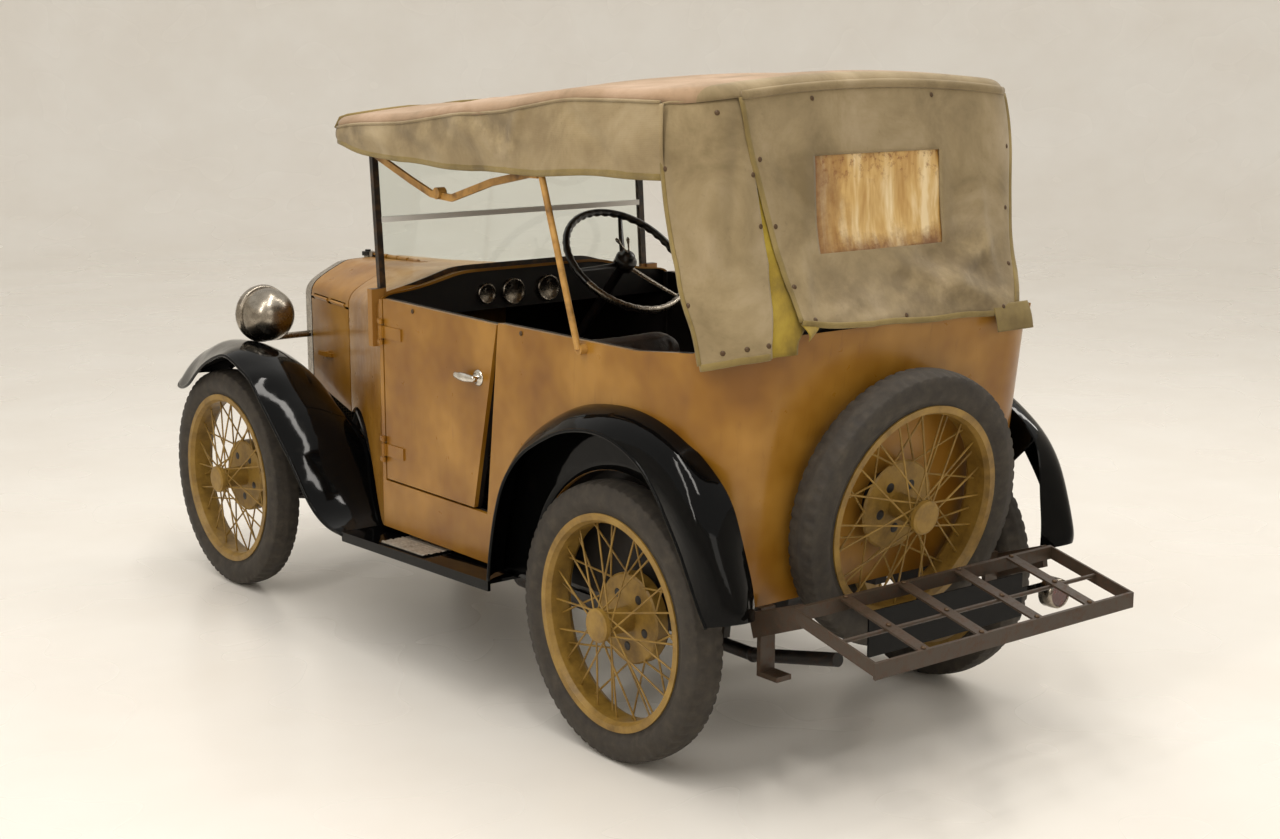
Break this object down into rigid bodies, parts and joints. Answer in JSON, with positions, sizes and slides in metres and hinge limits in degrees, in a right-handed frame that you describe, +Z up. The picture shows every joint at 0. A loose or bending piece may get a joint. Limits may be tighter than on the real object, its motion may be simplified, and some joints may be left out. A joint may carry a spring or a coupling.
{
  "type": "open light touring car with folding hood",
  "caption": "Small open touring car with fabric hood, wire wheels, rear spare wheel and a luggage rack.",
  "frame": {"origin": "on the ground under the middle of the car's overall length, on its centre plane", "axes": "+X to the car's left, +Y to its rear, +Z up; the car faces -Y"},
  "size_m": [1.1784, 2.9894, 1.5738],
  "materials": {
    "ochre_paint": "gloss",
    "olive_paint": "satin",
    "black_wing": "gloss",
    "black_iron": "satin",
    "tyre": "matt",
    "nickel": "worn",
    "glass": "clear",
    "celluloid": "yellowed",
    "hood_canvas": "matt",
    "hood_stick": "painted",
    "leather": "worn",
    "dark_wood": "satin",
    "lamp_red": "gloss",
    "blank_plate": "satin",
    "grip": "satin"
  },
  "bodies": {
    "car_body": {"chassis_frame": "black_iron", "front_axle": "black_iron", "rear_axle": "black_iron", "engine_block": "black_iron", "exhaust": "black_iron", "scuttle": "ochre_paint", "dashboard": "dark_wood", "radiator_shell": "nickel", "radiator_core": "black_iron", "radiator_cap": "black_iron", "body_side_left": "ochre_paint", "body_side_right": "ochre_paint", "rear_panel": "ochre_paint", "floor": "dark_wood", "steering_column": "black_iron", "windscreen_frame": "black_iron", "windscreen_glass": "glass", "seat_left": "leather", "seat_right": "leather", "seat_rear": "leather", "wings_front": "black_wing", "wings_rear": "black_wing", "running_boards": "black_wing", "headlamps": "nickel", "hood_cloth": "hood_canvas", "rear_curtain": "hood_canvas", "rear_window": "celluloid", "hood_frame": "hood_stick", "spare_wheel": "olive_paint", "spare_tyre": "tyre", "spare_carrier": "black_iron", "luggage_rack": "black_iron", "number_plate": "blank_plate", "tail_lamp": "lamp_red"},
    "road_wheel_front_left": {"wheel_front_left": "olive_paint", "tyre_front_left": "tyre"},
    "road_wheel_front_right": {"wheel_front_right": "olive_paint", "tyre_front_right": "tyre"},
    "road_wheel_rear_left": {"wheel_rear_left": "olive_paint", "tyre_rear_left": "tyre"},
    "road_wheel_rear_right": {"wheel_rear_right": "olive_paint", "tyre_rear_right": "tyre"},
    "steered_knuckle_left": {"knuckle_left": "black_iron"},
    "side_door_left": {"door_left": "ochre_paint"},
    "bonnet_upper_left": {"bonnet_top_left": "ochre_paint"},
    "bonnet_lower_left": {"bonnet_side_left": "ochre_paint"},
    "steered_knuckle_right": {"knuckle_right": "black_iron"},
    "side_door_right": {"door_right": "ochre_paint"},
    "bonnet_upper_right": {"bonnet_top_right": "ochre_paint"},
    "bonnet_lower_right": {"bonnet_side_right": "ochre_paint"},
    "track_rod": {"tie_rod": "black_iron"},
    "helm": {"steering_wheel": "grip"}
  },
  "joints": [
    {"name": "steer_left", "type": "hinge", "parent": "car_body", "child": "steered_knuckle_left", "pos_m": [0.42, -1.14775, 0.33], "axis": [0, 0, 1], "range_deg": [-28, 28]},
    {"name": "steer_right", "type": "hinge", "parent": "car_body", "child": "steered_knuckle_right", "pos_m": [-0.42, -1.14775, 0.33], "axis": [0, 0, 1], "range_deg": [-28, 28]},
    {"name": "track_rod_pin", "type": "hinge", "parent": "steered_knuckle_left", "child": "track_rod", "pos_m": [0.42, -1.03775, 0.271], "axis": [0, 0, 1], "range_deg": [-28, 28]},
    {"name": "steering_wheel_turn", "type": "hinge", "parent": "car_body", "child": "helm", "pos_m": [-0.23, -0.16025, 1.028], "axis": [0, 0.682, 0.7314], "range_deg": [-224, 224]},
    {"name": "front_wheel_left_spin", "type": "hinge", "parent": "steered_knuckle_left", "child": "road_wheel_front_left", "pos_m": [0.508, -1.14775, 0.33], "axis": [1, 0, 0], "continuous": true},
    {"name": "rear_wheel_left_spin", "type": "hinge", "parent": "car_body", "child": "road_wheel_rear_left", "pos_m": [0.508, 0.75725, 0.33], "axis": [1, 0, 0], "continuous": true},
    {"name": "door_left_swing", "type": "hinge", "parent": "car_body", "child": "side_door_left", "pos_m": [0.507, -0.27625, 0.7], "axis": [0, 0, -1], "range_deg": [0, 65]},
    {"name": "bonnet_left_lift", "type": "hinge", "parent": "car_body", "child": "bonnet_upper_left", "pos_m": [0, -0.99425, 0.973], "axis": [0, -1, 0], "range_deg": [0, 52]},
    {"name": "bonnet_left_fold", "type": "hinge", "parent": "bonnet_upper_left", "child": "bonnet_lower_left", "pos_m": [0.2535, -0.99425, 0.865], "axis": [-0.1563, -0.9877, 0], "range_deg": [-39, 0]},
    {"name": "front_wheel_right_spin", "type": "hinge", "parent": "steered_knuckle_right", "child": "road_wheel_front_right", "pos_m": [-0.508, -1.14775, 0.33], "axis": [1, 0, 0], "continuous": true},
    {"name": "rear_wheel_right_spin", "type": "hinge", "parent": "car_body", "child": "road_wheel_rear_right", "pos_m": [-0.508, 0.75725, 0.33], "axis": [1, 0, 0], "continuous": true},
    {"name": "door_right_swing", "type": "hinge", "parent": "car_body", "child": "side_door_right", "pos_m": [-0.507, -0.27625, 0.7], "axis": [0, 0, 1], "range_deg": [0, 65]},
    {"name": "bonnet_right_lift", "type": "hinge", "parent": "car_body", "child": "bonnet_upper_right", "pos_m": [0, -0.99425, 0.973], "axis": [0, 1, 0], "range_deg": [0, 52]},
    {"name": "bonnet_right_fold", "type": "hinge", "parent": "bonnet_upper_right", "child": "bonnet_lower_right", "pos_m": [-0.2535, -0.99425, 0.865], "axis": [-0.1563, 0.9877, 0], "range_deg": [-39, 0]}
  ],
  "couplings": [
    {"joint": "steer_right", "follows": "steer_left", "ratio": 1},
    {"joint": "track_rod_pin", "follows": "steer_left", "ratio": -1},
    {"joint": "steering_wheel_turn", "follows": "steer_left", "ratio": 8},
    {"joint": "bonnet_left_fold", "follows": "bonnet_left_lift", "ratio": -0.75},
    {"joint": "bonnet_right_fold", "follows": "bonnet_right_lift", "ratio": -0.75}
  ]
}
